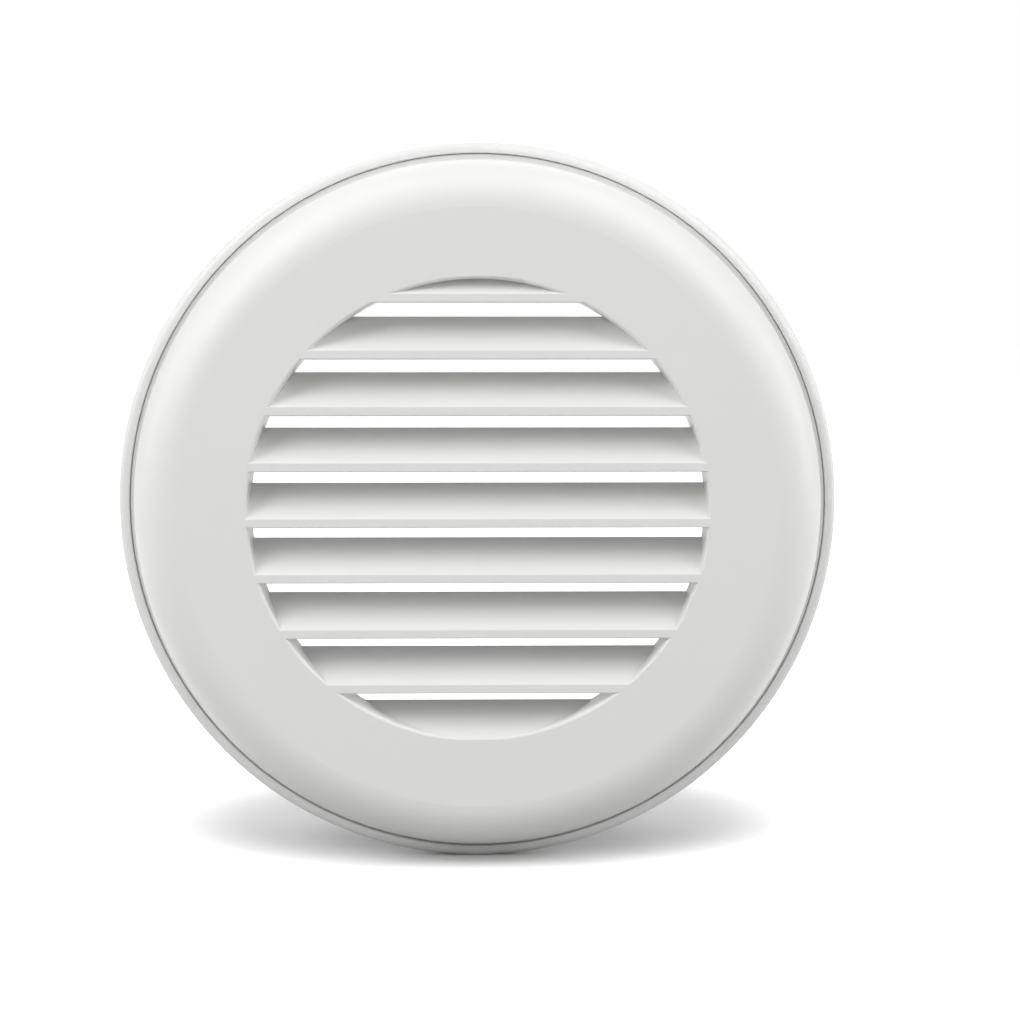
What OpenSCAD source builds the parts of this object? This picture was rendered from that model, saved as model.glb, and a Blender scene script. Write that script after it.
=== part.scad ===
// Round ceiling air vent with slanting louvres.
// The louvred cover is one moulding. It snaps into a base ring and turns on it to aim the air.
// Profiles are drawn with the vent's axis upright: height 0 is the ceiling and the face is on top.
// on_axis() lays the vent over, so that its face looks along -Y and its slats run level along X.

/* [Face] */
// Clear diameter of the louvred opening
opening_d = 100; // [80:1:130]
// Width of the flat ring around the opening
face_ring_w = 15; // [13:0.5:25]
// Radius of the rounded shoulder outside the flat ring
shoulder_r = 11; // [9:0.5:13]
// Height of the face above the ledge at the cover's foot
cover_h = 14.2; // [13.5:0.1:20]
// Wall of the cover's face, shoulder and skirt
cover_wall = 2; // [1.5:0.1:2.4]
// Radius on the edge of the opening
opening_edge_r = 0.7; // [0.3:0.1:1]

/* [Slats] */
// Distance from one slat to the next
slat_pitch = 12.13; // [11:0.01:14]
// Height of a slat's nose, which is flush with the face
slat_nose_h = 2.3; // [1.6:0.1:3]
// How far the slats reach back from the face
slat_depth = 9.5; // [7:0.1:10.5]
// Slope of the slats, rising towards the back
slat_slope = 38.3; // [30:0.1:42]
// Height of the middle slat's nose above the vent's axis
slat_offset = -2.87; // [-5:0.01:5]
// Radius on the four long edges of a slat
slat_edge_r = 0.3; // [0.1:0.05:0.6]
// Wall of the collar that carries the slats' ends
collar_wall = 1.8; // [1.2:0.1:2.5]
// How far the collar reaches back past the slats
collar_past = 1; // [0.5:0.1:2]

/* [Rim] */
// Width of the ledge around the cover's foot
ledge_w = 1.5; // [1:0.1:3]
// Thickness of that ledge
ledge_t = 0.9; // [0.8:0.1:1.5]
// Running gap between the ledge's edge and the base ring's lip
seam_gap = 0.1; // [0.05:0.05:0.3]
// Play between the ledge and the flange under it
ledge_play = 0.3; // [0.2:0.05:0.5]
// Width of the base ring's raised lip
lip_w = 2.4; // [1.8:0.1:4]
// Height of that lip above the flange
lip_h = 2; // [1.6:0.1:3]
// Radius on the lip's outer edge
lip_edge_r = 1.6; // [0.8:0.1:1.7]
// Radius on the other edges that a hand or a duct meets
soft_edge_r = 0.3; // [0.1:0.05:0.4]

/* [Base ring] */
// Thickness of the flange
flange_t = 1.6; // [1.4:0.1:3]
// Gap between the collar and the inside of the duct spigot
duct_room = 8.4; // [7:0.1:9]
// Wall of the duct spigot
spigot_wall = 1.8; // [1.4:0.1:2.4]
// How far the spigot reaches past the ceiling's surface
spigot_len = 20; // [10:1:60]
// Chamfer on the spigot's end
spigot_chamfer = 0.8; // [0.4:0.1:1]
// Gap between the spigot's front end and the inside of the face
hub_gap = 5; // [4:0.1:6]
// How far the catch bead stands in from the spigot's wall
bead_w = 1; // [0.8:0.1:1.4]
// Height of the catch bead
bead_h = 2; // [1.6:0.1:3]
// Number of gussets between one fixing screw and the next
gussets_per_bay = 2; // [1:1:4]
// Thickness of a gusset
gusset_t = 1.5; // [1:0.1:2]
// Reach of a gusset along the flange and along the spigot
gusset_reach = 4; // [2:0.1:5]

/* [Snap fingers] */
// Number of snap fingers that hold the cover
finger_count = 6; // [3:1:8]
// Width of a finger along its circle
finger_w = 14; // [8:1:20]
// Thickness of a finger
finger_t = 1.4; // [1.2:0.1:1.8]
// Height of the hook at a finger's end
hook_h = 2.5; // [2:0.1:3]
// Running gap between the fingers and the catch bead
run_gap = 0.2; // [0.1:0.05:0.3]
// Play between the hooks and the spigot's wall and bead
hook_gap = 0.3; // [0.2:0.05:0.4]

/* [Fixing screws] */
// Number of fixing screws
screw_count = 4; // [3:1:6]
// Diameter of a screw's thread
screw_d = 3.9; // [3:0.1:4.5]
// Diameter of a screw's plain shank, above its thread
shank_d = 2.9; // [2.2:0.1:3]
// Length of a screw under its head
screw_len = 25; // [16:1:50]
// Length of a screw's point
point_len = 4; // [2:0.5:6]
// Diameter of a screw's pan head
head_d = 7.4; // [6:0.1:8]
// Height of a screw's head
head_h = 2.5; // [1.8:0.1:3]
// Length across the cross recess
recess_len = 4.2; // [3:0.1:5]
// Width of the recess's slots
recess_w = 0.9; // [0.6:0.1:1.2]
// Depth of the recess
recess_depth = 1.5; // [0.8:0.1:1.6]
// Gap around a screw in its hole
hole_gap = 0.3; // [0.1:0.05:0.4]
// Height of the boss under a screw's head
boss_h = 0.8; // [0.4:0.1:1.5]
// Margin of that boss around the head
boss_margin = 0.6; // [0.3:0.1:0.8]

/* [Foam gasket] */
// Thickness of the gasket, pressed against the ceiling
gasket_t = 2; // [1:0.1:5]
// Gap between the gasket and the spigot
gasket_gap = 1.5; // [1.2:0.1:3]
// Distance from the gasket to the flange's rim
gasket_inset = 3.5; // [2:0.1:4]

/* [Hidden] */
$fn = 180;

// overlap that joins two solids of one moulding, and reach of a cut past the surface it opens
bite = 0.2;
past = 1;
white_plastic = [0.86, 0.86, 0.85];
dark_foam = [0.22, 0.22, 0.23];
zinc_steel = [0.72, 0.73, 0.74];

// radii, from the axis outwards
opening_r = opening_d / 2;
collar_r = opening_r + collar_wall;
face_ring_r = opening_r + face_ring_w;
cover_r = face_ring_r + shoulder_r;
skirt_in_r = cover_r - cover_wall;
ledge_r = cover_r + ledge_w;
lip_in_r = ledge_r + seam_gap;
rim_r = lip_in_r + lip_w;
spigot_in_r = collar_r + duct_room;
spigot_r = spigot_in_r + spigot_wall;
bead_r = spigot_in_r - bead_w;
finger_r = bead_r - run_gap;
hook_r = spigot_in_r - hook_gap;
screw_circle_r = (spigot_r + skirt_in_r) / 2;
hole_r = screw_d / 2 + hole_gap;

// patterns around the axis: the gussets stand evenly between the screws
first_screw_a = 180 / screw_count;
gusset_count = screw_count * gussets_per_bay;
first_gusset_a = first_screw_a + 180 / gusset_count;

// heights, from the ceiling to the face
flange_z = gasket_t + flange_t;
lip_z = flange_z + lip_h;
ledge_z = flange_z + ledge_play;
face_z = ledge_z + ledge_t + cover_h;
plate_z = face_z - cover_wall;
shoulder_z = face_z - shoulder_r;
collar_z = face_z - slat_depth - collar_past;
hub_z = plate_z - hub_gap;
catch_z = hub_z - bead_h;
hook_top_z = catch_z - hook_gap;
hook_end_z = hook_top_z - hook_h;
boss_z = flange_z + boss_h;

// slats: each nose's middle, for the rows whose plate shows in the opening
slat_rise = slat_depth * tan(slat_slope);
slat_reach = ceil(opening_r / slat_pitch) + 1;
slat_rows = [for (k = [-slat_reach:slat_reach]) let (y = slat_offset + k * slat_pitch)
    if (y + slat_rise > -opening_r && y + slat_nose_h / 2 < opening_r) y];

// a point at an angle on a circle
function on_circle(c, r, a) = c + r * [cos(a), sin(a)];

function unit(v) = v / norm(v);

// the corner b of an outline a, b, c, rounded to radius r
function rounded_corner(a, b, c, r, steps = 4) =
    let (
        u = unit(a - b),
        v = unit(c - b),
        half = acos(u * v) / 2,
        centre = b + unit(u + v) * r / sin(half),
        from = b + u * r / tan(half) - centre,
        to = b + v * r / tan(half) - centre,
        a0 = atan2(from.y, from.x),
        turn = atan2(from.x * to.y - from.y * to.x, from * to)
    )
    [for (i = [0:steps]) on_circle(centre, r, a0 + turn * i / steps)];

// lays a shape drawn with its axis upright over, so that its top looks along -Y
module on_axis() {
    rotate([90, 0, 0]) children();
}

// copies around the axis, the first at an angle
module around(count, first = 0) {
    for (i = [0:count - 1]) rotate([0, 0, first + i * 360 / count]) children();
}

// a rectangle from one corner to the other
module box_2d(low, high) {
    translate(low) square(high - low);
}

// what rounding to radius r takes off a corner that points along dir, such as [1, 1]
module corner_cut(p, r, dir) {
    translate(p) mirror([dir.x < 0 ? 1 : 0, 0]) mirror([0, dir.y < 0 ? 1 : 0])
        difference() {
            translate([-r, -r]) square(r + past);
            translate([-r, -r]) circle(r);
        }
}

// section of the cover's shell: collar, face, shoulder, skirt and ledge
module cover_section() {
    difference() {
        union() {
            box_2d([opening_r, collar_z], [collar_r, face_z]);
            box_2d([opening_r, plate_z], [face_ring_r + bite, face_z]);
            intersection() {
                translate([face_ring_r, shoulder_z]) difference() {
                    circle(shoulder_r);
                    circle(shoulder_r - cover_wall);
                }
                translate([face_ring_r, shoulder_z]) square(shoulder_r);
            }
            box_2d([skirt_in_r, ledge_z], [cover_r, shoulder_z + bite]);
            box_2d([skirt_in_r, ledge_z], [ledge_r, ledge_z + ledge_t]);
        }
        corner_cut([opening_r, face_z], opening_edge_r, [-1, 1]);
        corner_cut([opening_r, collar_z], soft_edge_r, [-1, -1]);
        corner_cut([collar_r, collar_z], soft_edge_r, [1, -1]);
        corner_cut([ledge_r, ledge_z + ledge_t], soft_edge_r, [1, 1]);
    }
}

// section of one slat, its nose flush with the face
module slat_section(y) {
    low = y - slat_nose_h / 2;
    high = y + slat_nose_h / 2;
    back_z = face_z - slat_depth;
    nose_low = [low, face_z];
    nose_high = [high, face_z];
    back_high = [high + slat_rise, back_z];
    back_low = [low + slat_rise, back_z];
    corners = [nose_low, nose_high, back_high, back_low];
    polygon([for (i = [0:3]) each
        rounded_corner(corners[(i + 3) % 4], corners[i], corners[(i + 1) % 4], slat_edge_r)]);
}

// all slats, ending inside the collar's wall
module slats() {
    slat_end_r = opening_r + collar_wall / 2;
    intersection() {
        for (y = slat_rows)
            rotate([90, 0, 90]) linear_extrude(2 * collar_r, center = true) slat_section(y);
        translate([0, 0, collar_z]) cylinder(h = face_z - collar_z + past, r = slat_end_r);
    }
}

// one snap finger with its hook, its middle on the X axis
module snap_finger() {
    angle = 360 * finger_w / (2 * PI * finger_r);
    hook_w = hook_r - finger_r;
    rotate([0, 0, -angle / 2]) rotate_extrude(angle = angle) {
        box_2d([finger_r - finger_t, hook_end_z], [finger_r, plate_z + bite]);
        polygon([
            [finger_r - bite, hook_end_z],
            [finger_r, hook_end_z],
            [hook_r, hook_end_z + hook_w],
            [hook_r, hook_top_z],
            [finger_r - bite, hook_top_z]
        ]);
    }
}

module louvre_cover() {
    color(white_plastic) on_axis() union() {
        rotate_extrude() cover_section();
        slats();
        around(finger_count) snap_finger();
    }
}

// section of the base ring: spigot, catch bead, flange and lip
module base_section() {
    difference() {
        union() {
            box_2d([spigot_in_r, -spigot_len], [spigot_r, hub_z]);
            polygon([
                [spigot_in_r + bite, hub_z],
                [spigot_in_r, hub_z],
                [bead_r, hub_z - bead_w],
                [bead_r, catch_z],
                [spigot_in_r + bite, catch_z]
            ]);
            box_2d([spigot_in_r, gasket_t], [rim_r, flange_z]);
            box_2d([lip_in_r, gasket_t], [rim_r, lip_z]);
        }
        corner_cut([rim_r, lip_z], lip_edge_r, [1, 1]);
        corner_cut([lip_in_r, lip_z], soft_edge_r, [-1, 1]);
        corner_cut([rim_r, gasket_t], soft_edge_r, [1, -1]);
        corner_cut([spigot_r, hub_z], soft_edge_r, [1, 1]);
        corner_cut([spigot_in_r, -spigot_len], soft_edge_r, [-1, -1]);
        polygon([
            [spigot_r - spigot_chamfer, -spigot_len],
            [spigot_r, -spigot_len + spigot_chamfer],
            [spigot_r + past, -spigot_len + spigot_chamfer],
            [spigot_r + past, -spigot_len - past],
            [spigot_r - spigot_chamfer, -spigot_len - past]
        ]);
    }
}

// a gusset in the corner between spigot and flange
module gusset() {
    rotate([90, 0, 0]) linear_extrude(gusset_t, center = true) polygon([
        [spigot_r - bite, flange_z - bite],
        [spigot_r + gusset_reach, flange_z - bite],
        [spigot_r + gusset_reach, flange_z],
        [spigot_r, flange_z + gusset_reach],
        [spigot_r - bite, flange_z + gusset_reach]
    ]);
}

module base_ring() {
    color(white_plastic) on_axis() difference() {
        union() {
            rotate_extrude() base_section();
            around(gusset_count, first_gusset_a) gusset();
            around(screw_count, first_screw_a) translate([screw_circle_r, 0, flange_z - bite])
                cylinder(h = boss_h + bite, r = head_d / 2 + boss_margin);
        }
        around(screw_count, first_screw_a) translate([screw_circle_r, 0, gasket_t - past])
            cylinder(h = flange_t + boss_h + 2 * past, r = hole_r);
    }
}

// a pan-head screw standing on height 0, with a cross recess and a plain shank of length grip
module screw(grip) {
    // the head's domed top starts at a third of the head's height
    rim_h = head_h / 3;
    dome_h = head_h - rim_h;
    dome_r = (pow(head_d / 2, 2) + pow(dome_h, 2)) / (2 * dome_h);
    difference() {
        rotate_extrude() intersection() {
            translate([0, head_h - dome_r]) circle(dome_r);
            box_2d([0, 0], [head_d / 2, head_h + past]);
        }
        for (a = [0, 90]) rotate([0, 0, a])
            translate([-recess_len / 2, -recess_w / 2, head_h - recess_depth])
                cube([recess_len, recess_w, recess_depth + past]);
    }
    translate([0, 0, -grip - bite]) cylinder(h = grip + 2 * bite, r = shank_d / 2);
    translate([0, 0, point_len - screw_len]) cylinder(h = screw_len - point_len - grip, r = screw_d / 2);
    translate([0, 0, -screw_len]) cylinder(h = point_len, r1 = 0, r2 = screw_d / 2);
}

module fixing_screws() {
    color(zinc_steel) on_axis() around(screw_count, first_screw_a)
        translate([screw_circle_r, 0, boss_z]) screw(grip = boss_z);
}

module foam_gasket() {
    color(dark_foam) on_axis() difference() {
        rotate_extrude() box_2d([spigot_r + gasket_gap, 0], [rim_r - gasket_inset, gasket_t]);
        around(screw_count, first_screw_a) translate([screw_circle_r, 0, -past])
            cylinder(h = gasket_t + 2 * past, r = hole_r);
    }
}

louvre_cover();
base_ring();
fixing_screws();
foam_gasket();
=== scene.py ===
"""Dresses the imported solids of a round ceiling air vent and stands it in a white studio.

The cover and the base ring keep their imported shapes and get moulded-plastic finishes. The
screws and the foam gasket are modelled here in more detail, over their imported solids. Every
length is in metres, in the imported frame: the face looks along -Y and +Z is up.
"""

from __future__ import annotations

import logging
import math
from dataclasses import dataclass
from enum import Enum

import bmesh
import bpy
from mathutils import Euler, Matrix, Vector, noise

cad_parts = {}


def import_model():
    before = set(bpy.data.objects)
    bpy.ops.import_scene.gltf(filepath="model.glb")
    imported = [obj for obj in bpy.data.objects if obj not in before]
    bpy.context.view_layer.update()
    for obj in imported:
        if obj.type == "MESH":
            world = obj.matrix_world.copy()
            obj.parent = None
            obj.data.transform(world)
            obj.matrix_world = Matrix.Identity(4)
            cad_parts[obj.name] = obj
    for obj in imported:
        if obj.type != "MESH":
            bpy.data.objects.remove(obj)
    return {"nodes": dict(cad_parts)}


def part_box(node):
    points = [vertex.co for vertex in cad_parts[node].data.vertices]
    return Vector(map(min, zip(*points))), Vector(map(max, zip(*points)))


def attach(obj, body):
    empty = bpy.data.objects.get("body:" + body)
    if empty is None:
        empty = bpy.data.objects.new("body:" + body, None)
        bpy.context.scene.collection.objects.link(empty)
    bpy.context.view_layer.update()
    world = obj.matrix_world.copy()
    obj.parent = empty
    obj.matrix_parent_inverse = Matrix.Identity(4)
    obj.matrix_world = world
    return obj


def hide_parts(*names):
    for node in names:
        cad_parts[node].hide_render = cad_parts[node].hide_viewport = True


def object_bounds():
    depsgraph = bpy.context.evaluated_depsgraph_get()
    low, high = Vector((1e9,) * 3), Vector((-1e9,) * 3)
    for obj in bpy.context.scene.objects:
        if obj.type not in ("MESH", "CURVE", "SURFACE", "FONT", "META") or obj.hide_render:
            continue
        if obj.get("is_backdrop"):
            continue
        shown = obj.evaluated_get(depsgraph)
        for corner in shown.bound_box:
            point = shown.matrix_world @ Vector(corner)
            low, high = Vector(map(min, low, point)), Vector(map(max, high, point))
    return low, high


LOG = logging.getLogger("ceiling_air_vent")
MM = 0.001
MERGE = 0.001 * MM
Colour = tuple[float, float, float]


class Finish(Enum):
    """The record's material slots."""

    COVER = "cover_plastic"
    BASE = "base_plastic"
    SCREW = "screw_steel"
    GASKET = "gasket_foam"


class Shader:
    """A material's node tree, built up from its principled shader.

    Args:
        name: The material's name.
        colour: The base colour, linear.
        roughness: The shader's roughness.
        metallic: 1 for a bare metal and 0 for anything else.
    """

    def __init__(self, name: str, colour: Colour, roughness: float, metallic: float = 0.0) -> None:
        self.material = bpy.data.materials.new(name)
        self.material.use_nodes = True
        self.tree = self.material.node_tree
        self.surface = self.tree.nodes["Principled BSDF"]
        self.surface.inputs["Base Color"].default_value = (*colour, 1.0)
        self.surface.inputs["Roughness"].default_value = roughness
        self.surface.inputs["Metallic"].default_value = metallic
        self.position = self.add("ShaderNodeTexCoord").outputs["Object"]

    def add(self, kind: str, **settings: object) -> bpy.types.Node:
        """Adds a node and sets its properties.

        Args:
            kind: The node's type name.
            settings: The node's properties and their values.

        Returns:
            The new node.
        """
        node = self.tree.nodes.new(kind)
        for key, value in settings.items():
            setattr(node, key, value)
        return node

    def link(self, source: bpy.types.NodeSocket, target: bpy.types.NodeSocket) -> None:
        """Joins an output to an input."""
        self.tree.links.new(source, target)

    def noise(self, grain: float, detail: float = 2.0) -> bpy.types.NodeSocket:
        """Adds a noise pattern on the piece's own coordinates.

        Args:
            grain: The size of the pattern's grains.
            detail: How many finer layers the pattern has.

        Returns:
            The pattern's value, about 0.5 on average.
        """
        pattern = self.add("ShaderNodeTexNoise", noise_dimensions="3D")
        pattern.inputs["Scale"].default_value = 1.0 / grain
        pattern.inputs["Detail"].default_value = detail
        self.link(self.position, pattern.inputs["Vector"])
        return pattern.outputs["Fac"]

    def cells(self, size: float) -> bpy.types.NodeSocket:
        """Adds a pattern of round cells on the piece's own coordinates.

        Args:
            size: The size of a cell.

        Returns:
            The pattern's value, 0 in a cell's middle and about 1 between the cells.
        """
        pattern = self.add("ShaderNodeTexVoronoi", voronoi_dimensions="3D", feature="F1")
        pattern.inputs["Scale"].default_value = 1.0 / size
        self.link(self.position, pattern.inputs["Vector"])
        return pattern.outputs["Distance"]

    def spread(self, value: bpy.types.NodeSocket, low: float, high: float) -> bpy.types.NodeSocket:
        """Maps a pattern's middle range to a new range.

        Args:
            value: The pattern's value.
            low: The result where the pattern is low.
            high: The result where the pattern is high.

        Returns:
            The mapped value.
        """
        ranged = self.add("ShaderNodeMapRange")
        for name, number in (("From Min", 0.3), ("From Max", 0.7), ("To Min", low), ("To Max", high)):
            ranged.inputs[name].default_value = number
        self.link(value, ranged.inputs["Value"])
        return ranged.outputs["Result"]

    def tint(self, value: bpy.types.NodeSocket, one: Colour, other: Colour) -> None:
        """Colours the surface between two colours.

        Args:
            value: The pattern that mixes the colours.
            one: The colour where the pattern is 0.
            other: The colour where the pattern is 1.
        """
        mix = self.add("ShaderNodeMix", data_type="RGBA")
        colours = {s.name: s for s in mix.inputs if s.type == "RGBA"}
        colours["A"].default_value = (*one, 1.0)
        colours["B"].default_value = (*other, 1.0)
        self.link(value, mix.inputs["Factor"])
        result = next(s for s in mix.outputs if s.type == "RGBA")
        self.link(result, self.surface.inputs["Base Color"])

    def emboss(self, height: bpy.types.NodeSocket, depth: float) -> None:
        """Raises a pattern on the surface as a bump.

        Args:
            height: The pattern's height, from 0 to 1.
            depth: The height of the pattern's relief.
        """
        bump = self.add("ShaderNodeBump")
        bump.inputs["Distance"].default_value = depth
        bump.inputs["Strength"].default_value = 1.0
        self.link(height, bump.inputs["Height"])
        self.link(bump.outputs["Normal"], self.surface.inputs["Normal"])


@dataclass(frozen=True)
class MouldedPlastic:
    """White plastic from a finely blasted mould, satin rather than glossy."""

    name: str
    colour: Colour = (0.80, 0.80, 0.785)
    shade: Colour = (0.785, 0.785, 0.77)
    gloss: tuple[float, float] = (0.39, 0.45)
    grain: float = 0.35 * MM
    relief: float = 0.004 * MM
    flow: float = 18 * MM

    def material(self) -> bpy.types.Material:
        """Builds the finish.

        Returns:
            The material, with faint flow clouds, uneven gloss and a fine grain.
        """
        shader = Shader(self.name, self.colour, sum(self.gloss) / 2)
        shader.tint(shader.noise(self.flow), self.colour, self.shade)
        gloss = shader.spread(shader.noise(self.flow / 3), *self.gloss)
        shader.link(gloss, shader.surface.inputs["Roughness"])
        shader.emboss(shader.noise(self.grain), self.relief)
        return shader.material


@dataclass(frozen=True)
class ZincPlate:
    """Bright zinc plate on rolled steel, faintly clouded where it was tumbled."""

    name: str = "zinc_plate"
    colour: Colour = (0.74, 0.75, 0.76)
    shade: Colour = (0.60, 0.61, 0.60)
    gloss: tuple[float, float] = (0.2, 0.36)
    cloud: float = 1.5 * MM
    grain: float = 0.12 * MM
    relief: float = 0.006 * MM

    def material(self) -> bpy.types.Material:
        """Builds the finish.

        Returns:
            The material, with clouded colour and gloss and a fine tumbled grain.
        """
        shader = Shader(self.name, self.colour, sum(self.gloss) / 2, metallic=1.0)
        clouds = shader.noise(self.cloud, detail=4.0)
        shader.tint(clouds, self.colour, self.shade)
        shader.link(shader.spread(clouds, *self.gloss), shader.surface.inputs["Roughness"])
        shader.emboss(shader.noise(self.grain), self.relief)
        return shader.material


@dataclass(frozen=True)
class ClosedCellFoam:
    """Dark closed-cell foam: matt, with small cells cut open on its faces."""

    name: str = "closed_cell_foam"
    colour: Colour = (0.045, 0.045, 0.05)
    shade: Colour = (0.09, 0.09, 0.095)
    roughness: float = 0.9
    cell: float = 0.45 * MM
    relief: float = 0.08 * MM

    def material(self) -> bpy.types.Material:
        """Builds the finish.

        Returns:
            The material, with painted shade that makes its cells darker in their hollows.
        """
        shader = Shader(self.name, self.colour, self.roughness)
        cells = shader.cells(self.cell)
        # painted shade: the pattern that sinks the cells also tints their hollows darker than the foam
        # between them
        shader.tint(cells, self.colour, self.shade)
        shader.emboss(cells, self.relief)
        return shader.material


@dataclass(frozen=True)
class Softbox:
    """A square studio lamp that hangs round the vent and faces it.

    Attributes:
        name: The lamp's name.
        around_deg: Where it hangs: 0 is in front of the vent, 90 at its right and 180 behind it.
        above_deg: Its height over the vent's axis, as an angle.
        power: Its power in watts.
        distance: Its distance from the vent.
        side: The length of its sides.
    """

    name: str
    around_deg: float
    above_deg: float
    power: float
    distance: float = 1.2
    side: float = 0.7

    def hang(self) -> bpy.types.Object:
        """Adds the lamp to the scene.

        Returns:
            The lamp's object.
        """
        lamp = bpy.data.lights.new(self.name, "AREA")
        lamp.shape = "SQUARE"
        lamp.size = self.side
        lamp.energy = self.power
        around, above = math.radians(self.around_deg), math.radians(self.above_deg)
        level = math.cos(above)
        direction = Vector((math.sin(around) * level, -math.cos(around) * level, math.sin(above)))
        piece = bpy.data.objects.new(self.name, lamp)
        piece.location = direction * self.distance
        piece.rotation_euler = (-direction).to_track_quat("-Z", "Y").to_euler()
        bpy.context.scene.collection.objects.link(piece)
        return piece


@dataclass(frozen=True)
class Backdrop:
    """The white world and the white floor.

    The world gives no light: it is only seen. The floor takes the vent's shadow, sends back
    less light than it shows, and turns plain white outside an oval round the shadow.

    Attributes:
        floor_z: The floor's height.
        reach: Half the floor's side.
        bounce: The share of the light that the floor sends back to the vent.
        shadow_middle: The oval's middle on the floor.
        shadow_reach: The oval's half width and half depth.
        plain_share: The share of the oval, from its middle, that has no glow.
    """

    floor_z: float
    reach: float = 6.0
    bounce: float = 0.4
    shadow_middle: tuple[float, float] = (0.0, 30 * MM)
    shadow_reach: tuple[float, float] = (108 * MM, 78 * MM)
    plain_share: float = 0.45

    def seen(self, tree: bpy.types.NodeTree) -> bpy.types.NodeSocket:
        """Adds a value that tells the rays that show the background from those that light.

        Args:
            tree: The node tree to add it to.

        Returns:
            The value: 1 on camera, glossy and transmission rays, and 0 on diffuse rays.
        """
        path = tree.nodes.new("ShaderNodeLightPath")
        total = path.outputs["Is Camera Ray"]
        for name in ("Is Glossy Ray", "Is Transmission Ray"):
            larger = tree.nodes.new("ShaderNodeMath")
            larger.operation = "MAXIMUM"
            tree.links.new(total, larger.inputs[0])
            tree.links.new(path.outputs[name], larger.inputs[1])
            total = larger.outputs["Value"]
        return total

    def hang_world(self) -> None:
        """Makes the world white where it is seen and dark as a light."""
        world = bpy.data.worlds.new("studio")
        world.use_nodes = True
        tree = world.node_tree
        background = tree.nodes["Background"]
        background.inputs["Color"].default_value = (1.0, 1.0, 1.0, 1.0)
        tree.links.new(self.seen(tree), background.inputs["Strength"])
        bpy.context.scene.world = world

    def paper(self) -> bpy.types.Material:
        """Builds the floor's material.

        Returns:
            A dull white that glows outside the shadow's oval.
        """
        shader = Shader("floor_paper", (1.0, 1.0, 1.0), 1.0)
        shader.surface.inputs["Specular IOR Level"].default_value = 0.0
        seen = self.seen(shader.tree)
        grey = shader.add("ShaderNodeMapRange")
        grey.inputs["To Min"].default_value = self.bounce
        grey.inputs["To Max"].default_value = 1.0
        shader.link(seen, grey.inputs["Value"])
        shader.link(grey.outputs["Result"], shader.surface.inputs["Base Color"])
        oval = shader.add("ShaderNodeMapping", vector_type="TEXTURE")
        oval.inputs["Location"].default_value = (*self.shadow_middle, 0.0)
        oval.inputs["Scale"].default_value = (*self.shadow_reach, 1.0)
        shader.link(shader.position, oval.inputs["Vector"])
        distance = shader.add("ShaderNodeVectorMath", operation="LENGTH")
        shader.link(oval.outputs["Vector"], distance.inputs[0])
        rise = shader.add("ShaderNodeMapRange", interpolation_type="SMOOTHSTEP")
        rise.inputs["From Min"].default_value = self.plain_share
        rise.inputs["From Max"].default_value = 1.0
        shader.link(distance.outputs["Value"], rise.inputs["Value"])
        glow = shader.add("ShaderNodeMath", operation="MULTIPLY")
        shader.link(rise.outputs["Result"], glow.inputs[0])
        shader.link(seen, glow.inputs[1])
        shader.surface.inputs["Emission Color"].default_value = (1.0, 1.0, 1.0, 1.0)
        shader.link(glow.outputs["Value"], shader.surface.inputs["Emission Strength"])
        return shader.material

    def lay_floor(self) -> bpy.types.Object:
        """Adds the floor.

        Returns:
            The floor's object, its own origin under the vent.
        """
        mesh = bpy.data.meshes.new("floor")
        corners = [(-1, -1), (1, -1), (1, 1), (-1, 1)]
        mesh.from_pydata([(x * self.reach, y * self.reach, 0.0) for x, y in corners], [], [(0, 1, 2, 3)])
        mesh.materials.append(self.paper())
        floor = bpy.data.objects.new("floor", mesh)
        floor.location.z = self.floor_z
        bpy.context.scene.collection.objects.link(floor)
        floor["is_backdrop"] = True
        return floor


@dataclass(frozen=True)
class Camera:
    """The photograph's camera, worked out from its slats and circles.

    Attributes:
        place: It stands in front of the face, a little above the vent's axis.
        pitch_deg: How far it looks down.
        yaw_deg: How far it looks to the right.
        focal_px: Its focal length in pixels of the image.
        image_px: The image's side.
        sensor_mm: The sensor's side.
    """

    place: tuple[float, float, float] = (0.6 * MM, -449.5 * MM, 42.9 * MM)
    pitch_deg: float = 5.66
    yaw_deg: float = 0.84
    focal_px: float = 2000.0
    image_px: float = 1020.0
    sensor_mm: float = 36.0

    def set_up(self) -> bpy.types.Object:
        """Adds the camera and makes it the scene's own.

        Returns:
            The camera's object.
        """
        lens = bpy.data.cameras.new("camera")
        lens.sensor_width = self.sensor_mm
        lens.lens = self.focal_px / self.image_px * self.sensor_mm
        lens.clip_start, lens.clip_end = 0.01, 50.0
        camera = bpy.data.objects.new("camera", lens)
        camera.location = self.place
        turn = (math.radians(90 - self.pitch_deg), 0.0, -math.radians(self.yaw_deg))
        camera.rotation_euler = Euler(turn)
        bpy.context.scene.collection.objects.link(camera)
        bpy.context.scene.camera = camera
        return camera


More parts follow.
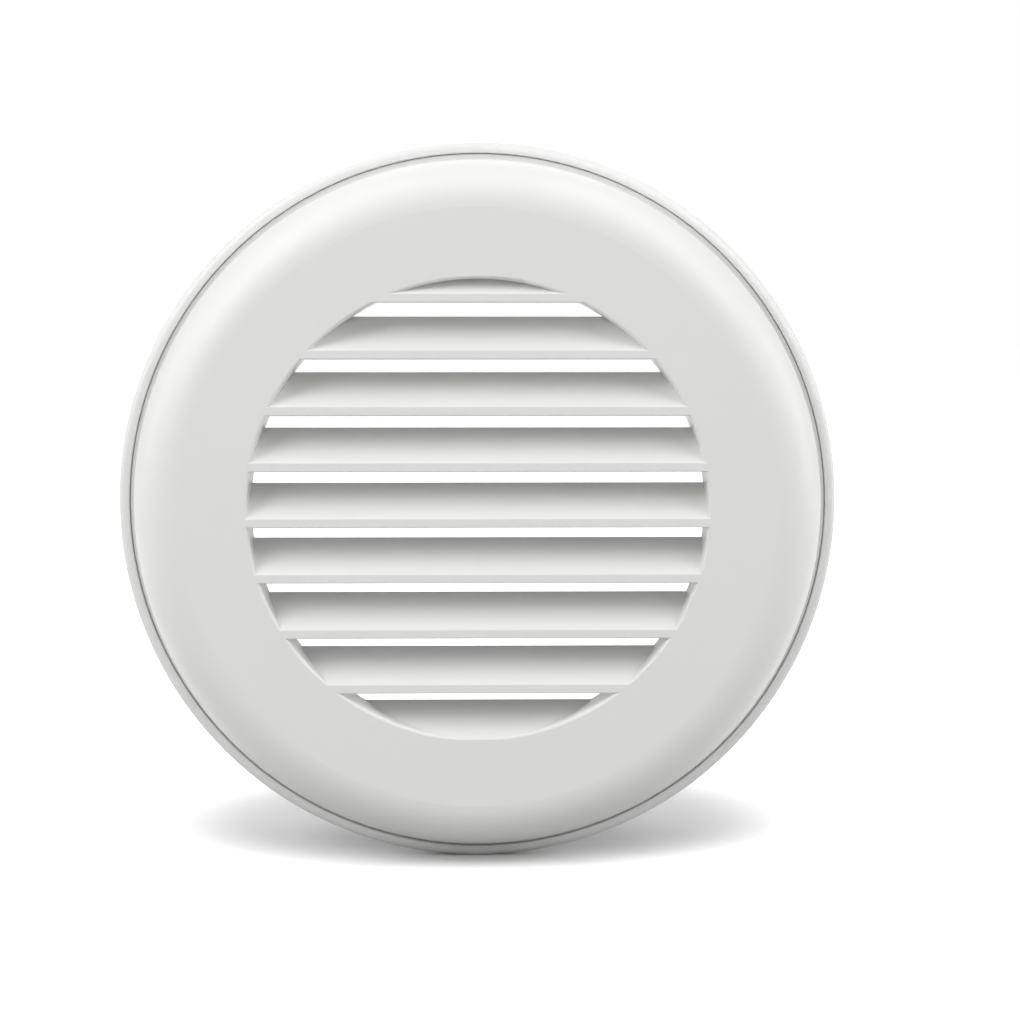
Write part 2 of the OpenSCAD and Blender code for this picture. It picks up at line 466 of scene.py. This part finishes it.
@dataclass
class Studio:
    """The white floor and world, the lamps and the camera.

    Attributes:
        floor_z: The floor's height.
        camera: The camera.
        softboxes: The lamps.
    """

    floor_z: float
    camera: Camera = Camera()
    softboxes: tuple[Softbox, ...] = (
        Softbox("left_key_softbox", -50.0, 30.0, 6.46),
        Softbox("right_key_softbox", 50.0, 30.0, 4.03),
        Softbox("left_side_softbox", -90.0, 15.0, 3.18),
        Softbox("right_side_softbox", 90.0, 13.0, 4.98),
        Softbox("left_top_softbox", -70.0, 60.0, 2.97),
        Softbox("right_top_softbox", 67.0, 60.0, 3.28),
        Softbox("top_softbox", 0.0, 60.0, 1.80),
        Softbox("front_softbox", 0.0, 0.0, 2.01),
        Softbox("back_softbox", 180.0, 30.0, 2.97),
    )

    def build(self) -> None:
        """Builds the whole studio."""
        backdrop = Backdrop(self.floor_z)
        backdrop.hang_world()
        backdrop.lay_floor()
        for softbox in self.softboxes:
            softbox.hang()
        self.camera.set_up()
        bpy.context.scene.view_settings.view_transform = "Standard"
        LOG.info("studio: %d softboxes, floor at %.1f mm", len(self.softboxes), self.floor_z / MM)


class Blank:
    """A closed shape in the making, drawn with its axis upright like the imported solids' sections.

    Attributes:
        mesh: The shape so far.
    """

    def __init__(self) -> None:
        self.mesh = bmesh.new()

    def turn(self, section: list[tuple[float, float]], steps: int) -> Blank:
        """Adds a section turned about the upright axis.

        Args:
            section: The outline's corners as radius and height. It starts and ends on the axis,
                or it is a ring's section and ends where it starts.
            steps: The number of faces round the axis.

        Returns:
            The same blank.
        """
        corners = [self.mesh.verts.new((radius, 0.0, height)) for radius, height in section]
        edges = [self.mesh.edges.new(pair) for pair in zip(corners, corners[1:])]
        bmesh.ops.spin(
            self.mesh,
            geom=corners + edges,
            cent=(0, 0, 0),
            axis=(0, 0, 1),
            dvec=(0, 0, 0),
            angle=math.tau,
            steps=steps,
            use_merge=True,
            use_duplicate=False,
        )
        return self.close()

    def close(self) -> Blank:
        """Merges what lies together, fills open ends and points the faces outwards.

        Returns:
            The same blank.
        """
        bmesh.ops.remove_doubles(self.mesh, verts=self.mesh.verts, dist=MERGE)
        open_edges = [edge for edge in self.mesh.edges if edge.is_boundary]
        if open_edges:
            bmesh.ops.holes_fill(self.mesh, edges=open_edges, sides=0)
        bmesh.ops.recalc_face_normals(self.mesh, faces=self.mesh.faces)
        return self

    def as_object(self, name: str) -> bpy.types.Object:
        """Ends the making.

        Args:
            name: The object's name.

        Returns:
            A new object that holds the shape.
        """
        data = bpy.data.meshes.new(name)
        self.mesh.to_mesh(data)
        self.mesh.free()
        piece = bpy.data.objects.new(name, data)
        bpy.context.scene.collection.objects.link(piece)
        return piece


def cut(piece: bpy.types.Object, tool: bpy.types.Object, operation: str) -> None:
    """Joins a tool to a piece or cuts it out of it, and removes the tool.

    Args:
        piece: The object to change.
        tool: The object to add or take away.
        operation: UNION or DIFFERENCE.
    """
    modifier = piece.modifiers.new(operation.lower(), "BOOLEAN")
    modifier.object, modifier.operation, modifier.solver = tool, operation, "EXACT"
    graph = bpy.context.evaluated_depsgraph_get()
    result = bpy.data.meshes.new_from_object(piece.evaluated_get(graph))
    piece.modifiers.remove(modifier)
    piece.data = result
    bpy.data.objects.remove(tool)


def shade(piece: bpy.types.Object, crease_deg: float = 35.0) -> None:
    """Shades a piece smooth, with its sharp edges kept.

    Args:
        piece: The object.
        crease_deg: Edges that turn by more than this stay sharp.
    """
    piece.data.shade_smooth()
    piece.data.set_sharp_from_angle(angle=math.radians(crease_deg))


def laid_over() -> Matrix:
    """Returns the turn that lays an upright shape over, so that its top looks along -Y."""
    return Matrix.Rotation(math.radians(90), 4, "X")


def turned(angle_deg: float) -> Matrix:
    """Returns the turn about the upright axis by an angle in degrees."""
    return Matrix.Rotation(math.radians(angle_deg), 4, "Z")


def arc(
    centre: tuple[float, float], radius: float, start_deg: float, end_deg: float, steps: int
) -> list[tuple[float, float]]:
    """Works out an arc of a section.

    Args:
        centre: The arc's centre as radius and height.
        radius: The arc's own radius.
        start_deg: The angle of its first point, 0 outwards and 90 upwards.
        end_deg: The angle of its last point.
        steps: The number of straight steps.

    Returns:
        The points from the first to the last.
    """
    angles = [math.radians(start_deg + (end_deg - start_deg) * i / steps) for i in range(steps + 1)]
    return [(centre[0] + radius * math.cos(a), centre[1] + radius * math.sin(a)) for a in angles]


@dataclass
class FixingScrews:
    """The screws that hold the base ring: pan heads, cross recesses and rolled threads.

    Attributes:
        circle_radius: The radius of the circle that the screws stand on.
        head_seat: The height of the heads' undersides over the ceiling.
        count: The number of screws.
        first_deg: The first screw's place round the circle.
        head_radius: A head's radius.
        head_height: A head's height.
        edge_radius: The radius on a head's lower edge and under it.
        shank_radius: The plain shank's radius.
        shank_overlap: How far the shank reaches into the thread.
        crest_radius: The thread's outer radius.
        crest_width: The width of the thread's crest.
        flank_deg: The slope of the thread's flanks.
        thread_sink: How far the thread's foot lies inside the shank.
        pitch: The thread's pitch.
        length: The length under the head.
        point: The point's length.
        tip_share: The share of the thread's width that is left at the tip.
        recess_length: The cross recess's length.
        recess_width: The width of its slots.
        recess_depth: Its depth.
        recess_taper: Its length at the bottom, as a share of the length at the top.
        turn_steps: The number of faces round a screw.
        crown_steps: The number of steps over half of the domed head.
        edge_steps: The number of steps on a rounded edge.
    """

    circle_radius: float
    head_seat: float
    count: int = 4
    first_deg: float = 45.0
    head_radius: float = 3.7 * MM
    head_height: float = 2.5 * MM
    edge_radius: float = 0.2 * MM
    shank_radius: float = 1.45 * MM
    shank_overlap: float = 2.4 * MM
    crest_radius: float = 1.95 * MM
    crest_width: float = 0.12 * MM
    flank_deg: float = 30.0
    thread_sink: float = 0.03 * MM
    pitch: float = 1.6 * MM
    length: float = 25.0 * MM
    point: float = 4.0 * MM
    tip_share: float = 0.03
    recess_length: float = 4.2 * MM
    recess_width: float = 0.9 * MM
    recess_depth: float = 1.5 * MM
    recess_taper: float = 0.35
    turn_steps: int = 40
    crown_steps: int = 10
    edge_steps: int = 4

    def head_and_shank(self) -> bpy.types.Object:
        """Turns the head and the plain shank in one section.

        Returns:
            The head, its underside at height 0, with the shank below it.
        """
        rim = self.head_height / 3
        rise = self.head_height - rim
        dome = (self.head_radius**2 + rise**2) / (2 * rise)
        lean = math.degrees(math.asin(self.head_radius / dome))
        edge, soft = self.edge_radius, self.edge_steps
        crown = arc((0.0, self.head_height - dome), dome, 90.0, 90.0 - lean, self.crown_steps)
        foot = arc((self.head_radius - edge, edge), edge, 0.0, -90.0, soft)
        neck = arc((self.shank_radius + edge, -edge), edge, 90.0, 180.0, soft)
        end = -self.head_seat - self.shank_overlap
        section = crown + foot + neck + [(self.shank_radius, end), (0.0, end)]
        return Blank().turn(section, self.turn_steps).as_object("zinc_screws")

    def thread(self) -> bpy.types.Object:
        """Winds one pitch of the thread's section down the screw, and draws its end to a point.

        Returns:
            The threaded part as a closed shape.
        """
        blank = Blank()
        root = self.shank_radius - self.thread_sink
        half_crest = self.crest_width / 2
        half_foot = half_crest + (self.crest_radius - root) * math.tan(math.radians(self.flank_deg))
        middle = self.pitch / 2
        section = [
            (root, 0.0),
            (root, -(middle - half_foot)),
            (self.crest_radius, -(middle - half_crest)),
            (self.crest_radius, -(middle + half_crest)),
            (root, -(middle + half_foot)),
            (root, -self.pitch),
        ]
        start = -self.head_seat
        turns = math.floor((self.length - self.head_seat) / self.pitch) - 1
        corners = [blank.mesh.verts.new((radius, 0.0, start + height)) for radius, height in section]
        edges = [blank.mesh.edges.new(pair) for pair in zip(corners, corners[1:])]
        bmesh.ops.spin(
            blank.mesh,
            geom=corners + edges,
            cent=(0, 0, 0),
            axis=(0, 0, 1),
            dvec=(0, 0, -self.pitch / self.turn_steps),
            angle=math.tau * turns,
            steps=self.turn_steps * turns,
            use_merge=False,
            use_duplicate=False,
        )
        bottom = min(vertex.co.z for vertex in blank.mesh.verts)
        stretch = (self.length + start) / (start - bottom)
        for vertex in blank.mesh.verts:
            depth = (start - vertex.co.z) * stretch
            vertex.co.z = start - depth
            radius = math.hypot(vertex.co.x, vertex.co.y)
            run_in = min(1.0, depth / self.pitch)
            wanted = root + (radius - root) * run_in
            to_tip = (self.length + vertex.co.z) / self.point
            wanted *= max(self.tip_share, min(1.0, to_tip))
            vertex.co.x *= wanted / radius
            vertex.co.y *= wanted / radius
        half_step = turned(180.0 / self.turn_steps)
        bmesh.ops.transform(blank.mesh, matrix=half_step, verts=blank.mesh.verts)
        return blank.close().as_object("thread")

    def recess_wing(self, turn_deg: float) -> bpy.types.Object:
        """Makes one of the cross recess's two crossing wedges.

        Args:
            turn_deg: The wedge's turn about the screw.

        Returns:
            The wedge as a closed shape.
        """
        blank = Blank()
        height = 2 * self.recess_depth
        scale = Matrix.Diagonal((self.recess_length, self.recess_width, height, 1.0))
        bmesh.ops.create_cube(blank.mesh, size=1.0, matrix=scale)
        for vertex in blank.mesh.verts:
            if vertex.co.z < 0:
                vertex.co.x *= self.recess_taper
                vertex.co.y *= 1 - self.recess_taper / 2
        place = Matrix.Translation((0.0, 0.0, self.head_height)) @ turned(turn_deg)
        bmesh.ops.transform(blank.mesh, matrix=place, verts=blank.mesh.verts)
        return blank.as_object("recess_wing")

    def build(self) -> bpy.types.Object:
        """Builds one screw and sets its copies round the ring.

        Returns:
            All the screws as one object.
        """
        screws = self.head_and_shank()
        cut(screws, self.thread(), "UNION")
        for turn_deg in (0.0, 90.0):
            cut(screws, self.recess_wing(turn_deg), "DIFFERENCE")
        pattern = bmesh.new()
        pattern.from_mesh(screws.data)
        place = Matrix.Translation((self.circle_radius, 0.0, self.head_seat))
        bmesh.ops.transform(pattern, matrix=turned(self.first_deg) @ place, verts=pattern.verts)
        first = pattern.verts[:] + pattern.edges[:] + pattern.faces[:]
        for number in range(1, self.count):
            copy = bmesh.ops.duplicate(pattern, geom=first)["geom"]
            corners = [item for item in copy if isinstance(item, bmesh.types.BMVert)]
            bmesh.ops.transform(pattern, matrix=turned(360.0 * number / self.count), verts=corners)
        bmesh.ops.transform(pattern, matrix=laid_over(), verts=pattern.verts)
        pattern.to_mesh(screws.data)
        pattern.free()
        shade(screws)
        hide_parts("fixing_screws")
        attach(screws, "base")
        dress(screws, ZincPlate().material())
        return screws


@dataclass
class FoamGasket:
    """The foam ring between the flange and the ceiling, with its screw holes.

    Attributes:
        outer_radius: The ring's outer radius.
        thickness: Its thickness, pressed against the ceiling.
        hole_circle_radius: The radius of the circle that the holes lie on.
        width: The width of the ring.
        hole_count: The number of holes.
        first_deg: The first hole's place round the circle.
        hole_radius: A hole's radius.
        edge_radius: The radius on the ring's edges.
        steps: The number of faces round the ring.
        across: The number of faces across its width.
        edge_steps: The number of steps on a rounded edge.
        hole_steps: The number of faces round a hole.
        unevenness: The most that the foam sinks in.
        lump: The size of the foam's uneven patches.
        fill: How tight the foam is, from 0 to 1; not used.
    """

    outer_radius: float
    thickness: float
    hole_circle_radius: float
    width: float = 13.0 * MM
    hole_count: int = 4
    first_deg: float = 45.0
    hole_radius: float = 2.25 * MM
    edge_radius: float = 0.45 * MM
    steps: int = 288
    across: int = 14
    edge_steps: int = 4
    hole_steps: int = 32
    unevenness: float = 0.05 * MM
    lump: float = 3.0 * MM
    fill: float = 0.9

    def ring(self) -> bpy.types.Object:
        """Turns the ring's section, with soft edges.

        Returns:
            The ring without its holes, its back face at height 0.
        """
        r, t, soft = self.edge_radius, self.thickness, self.edge_steps
        inner_radius = self.outer_radius - self.width
        inner, outer = inner_radius + r, self.outer_radius - r
        between = [inner + (outer - inner) * i / self.across for i in range(1, self.across)]
        section = (
            arc((outer, r), r, -90.0, 0.0, soft)
            + arc((outer, t - r), r, 0.0, 90.0, soft)
            + [(x, t) for x in reversed(between)]
            + arc((inner, t - r), r, 90.0, 180.0, soft)
            + arc((inner, r), r, 180.0, 270.0, soft)
            + [(x, 0.0) for x in between]
        )
        return Blank().turn(section + section[:1], self.steps).as_object("foam_ring")

    def holes(self) -> bpy.types.Object:
        """Makes the plugs that cut the screw holes.

        Returns:
            The plugs as one object.
        """
        blank = Blank()
        for number in range(self.hole_count):
            turn = turned(self.first_deg + 360.0 * number / self.hole_count)
            place = turn @ Matrix.Translation((self.hole_circle_radius, 0.0, self.thickness / 2))
            bmesh.ops.create_cone(
                blank.mesh,
                cap_ends=True,
                segments=self.hole_steps,
                radius1=self.hole_radius,
                radius2=self.hole_radius,
                depth=3 * self.thickness,
                matrix=place,
            )
        return blank.as_object("screw_holes")

    def build(self) -> bpy.types.Object:
        """Builds the gasket.

        Returns:
            The gasket's object.
        """
        gasket = self.ring()
        cut(gasket, self.holes(), "DIFFERENCE")
        foam = bmesh.new()
        foam.from_mesh(gasket.data)
        middle = self.thickness / 2
        for vertex in foam.verts:
            share = (vertex.co.z - middle) / middle
            sink = (1 + noise.noise(vertex.co / self.lump)) / 2 * self.unevenness
            vertex.co.z -= share * sink
        bmesh.ops.transform(foam, matrix=laid_over(), verts=foam.verts)
        foam.to_mesh(gasket.data)
        foam.free()
        shade(gasket)
        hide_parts("foam_gasket")
        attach(gasket, "base")
        dress(gasket, ClosedCellFoam().material())
        return gasket


def dress(node: bpy.types.Object, material: bpy.types.Material) -> None:
    """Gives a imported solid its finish.

    Args:
        node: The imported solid's object.
        material: The finish.
    """
    node.data.materials.clear()
    node.data.materials.append(material)


def main() -> None:
    """Builds the vent's looks and the studio."""
    logging.basicConfig(level=logging.INFO, format="%(name)s: %(message)s")
    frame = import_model()
    packed_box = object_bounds()
    nodes = frame["nodes"]
    for name, finish in (("louvre_cover", Finish.COVER), ("base_ring", Finish.BASE)):
        dress(nodes[name], MouldedPlastic(finish.value).material())
        LOG.info("%s: packed solid, %d faces", name, len(nodes[name].data.polygons))
    screw_low, screw_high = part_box("fixing_screws")
    foam_low, foam_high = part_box("foam_gasket")
    slant = math.cos(math.radians(FixingScrews.first_deg))
    circle_radius = (screw_high.x - FixingScrews.head_radius) / slant
    head_seat = -screw_low.y - FixingScrews.head_height
    screws = FixingScrews(circle_radius, head_seat).build()
    gasket = FoamGasket(foam_high.x, foam_high.y - foam_low.y, circle_radius).build()
    for piece in (screws, gasket):
        LOG.info("%s: modelled here, %d faces", piece.name, len(piece.data.polygons))
    Studio(packed_box[0].z).build()


if __name__ == "__main__":
    main()
